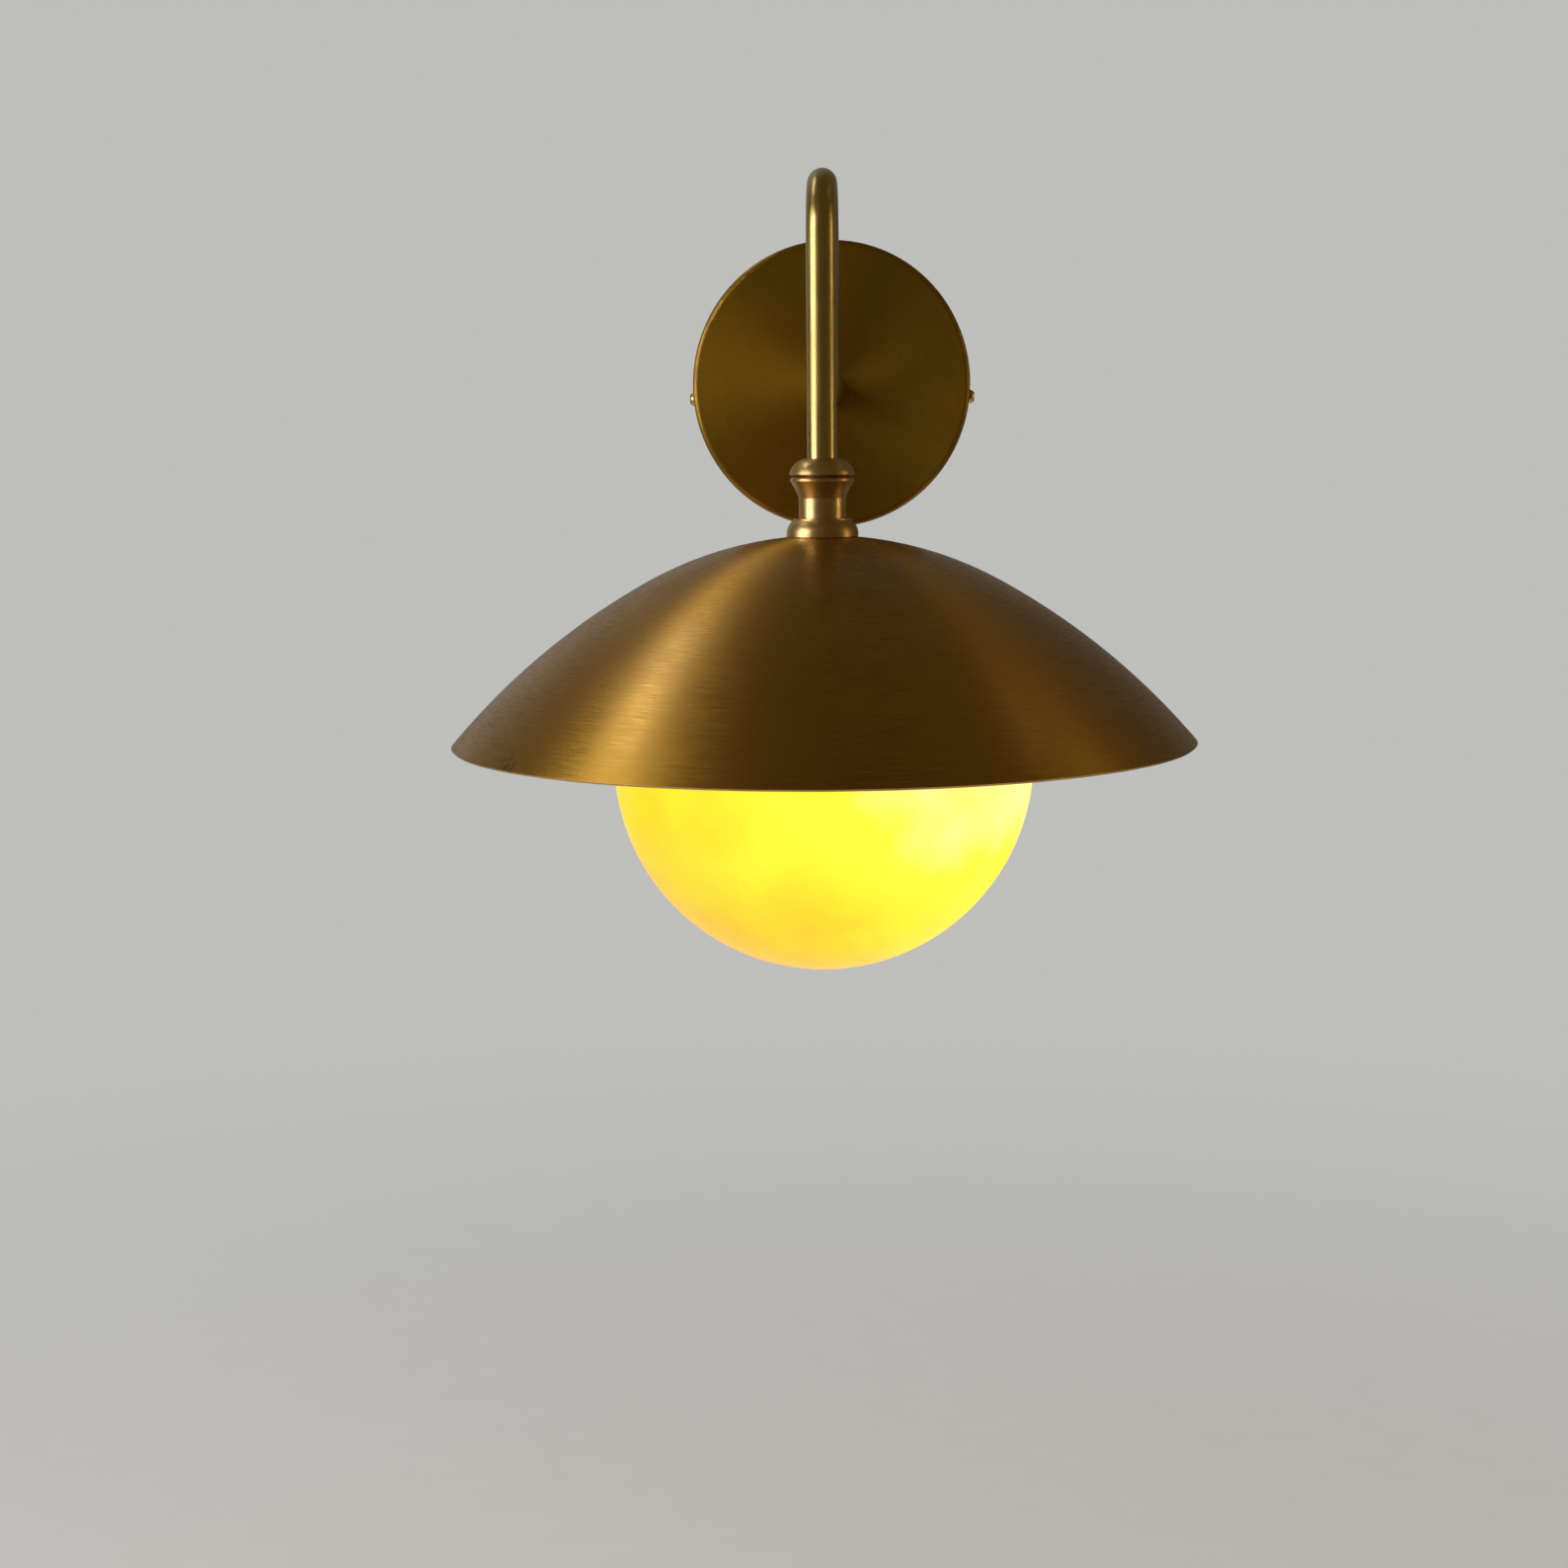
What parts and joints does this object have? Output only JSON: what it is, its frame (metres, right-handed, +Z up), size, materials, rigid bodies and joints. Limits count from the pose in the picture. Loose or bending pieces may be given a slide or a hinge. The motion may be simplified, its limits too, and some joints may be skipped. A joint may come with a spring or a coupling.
{
  "type": "wall sconce",
  "caption": "Wall light with a round canopy, a swan-neck arm and a turning head that carries a brass dome shade over an opal glass globe.",
  "frame": {"origin": "on the wall, at the centre of the wall bracket's back face, midway between its two screw slots", "axes": "+X to the right as seen from the room, +Z up, -Y out of the wall towards the room"},
  "size_m": [0.254, 0.267, 0.2668],
  "materials": {
    "aged_brass": "satin brushed, lacquered",
    "raw_brass": "turned, satin",
    "terminal_brass": "plain",
    "zinc_steel": "zinc plated",
    "nickel_shell": "satin",
    "opal_glass": "opal, glossy",
    "bulb_glass": "opal, satin",
    "insulator_glass": "vitrite, glossy",
    "solder": "dull",
    "gasket_rubber": "matt",
    "flex_pvc": "matt",
    "core_blue": "matt",
    "core_brown": "matt",
    "core_green_yellow": "matt",
    "block_nylon": "matt",
    "holder_thermoset": "satin",
    "holder_ceramic": "unglazed",
    "bulb_collar_plastic": "gloss",
    "friction_fibre": "red fibre"
  },
  "bodies": {
    "wall_mount": {"wall_bracket": "zinc_steel", "canopy": "aged_brass", "canopy_screws": "raw_brass", "earth_screw": "terminal_brass", "earth_tag": "nickel_shell", "terminal_block": "block_nylon", "block_screws": "zinc_steel", "terminal_screws": "zinc_steel", "arm_tube": "aged_brass", "arm_stud": "terminal_brass", "arm_washer": "zinc_steel", "arm_nut": "zinc_steel", "arm_flex": "flex_pvc", "neutral_core": "core_blue", "live_core": "core_brown", "earth_core": "core_green_yellow", "swivel_cap": "raw_brass", "swivel_stop_pin": "zinc_steel", "swivel_washer": "friction_fibre", "swivel_spring_washer": "zinc_steel", "swivel_nut": "terminal_brass"},
    "head": {"swivel_body": "raw_brass", "shade_flange": "raw_brass", "threaded_rod": "zinc_steel", "rod_washer": "zinc_steel", "rod_nut": "zinc_steel", "dome_shade": "aged_brass", "gallery": "aged_brass", "globe_gasket": "gasket_rubber", "opal_globe": "opal_glass", "lampholder_cap": "holder_thermoset", "lampholder_sleeve": "holder_thermoset", "lampholder_insert": "holder_ceramic", "lampholder_shell": "nickel_shell", "lampholder_contact": "terminal_brass", "lead_screws": "zinc_steel", "neutral_lead": "core_blue", "live_lead": "core_brown"},
    "thumbscrew_1": {"thumbscrew_1": "raw_brass"},
    "thumbscrew_2": {"thumbscrew_2": "raw_brass"},
    "thumbscrew_3": {"thumbscrew_3": "raw_brass"},
    "bulb": {"bulb_cap": "nickel_shell", "bulb_insulator": "insulator_glass", "bulb_contact": "solder", "bulb_collar": "bulb_collar_plastic", "bulb_envelope": "bulb_glass"}
  },
  "joints": [
    {"name": "head_swivel", "type": "hinge", "parent": "wall_mount", "child": "head", "pos_m": [0, -0.14, -0.0272], "axis": [0, 0, 1], "range_deg": [-165, 165]},
    {"name": "thumbscrew_1_out", "type": "slide", "parent": "head", "child": "thumbscrew_1", "axis": [0, 1, 0], "range_m": [0, 0.0025]},
    {"name": "thumbscrew_2_out", "type": "slide", "parent": "head", "child": "thumbscrew_2", "axis": [-0.866, -0.5, 0], "range_m": [0, 0.0025]},
    {"name": "thumbscrew_3_out", "type": "slide", "parent": "head", "child": "thumbscrew_3", "axis": [0.866, -0.5, 0], "range_m": [0, 0.0025]},
    {"name": "bulb_unscrew", "type": "hinge", "parent": "head", "child": "bulb", "pos_m": [0, -0.14, -0.09], "axis": [0, 0, -1], "range_deg": [0, 1080]}
  ]
}
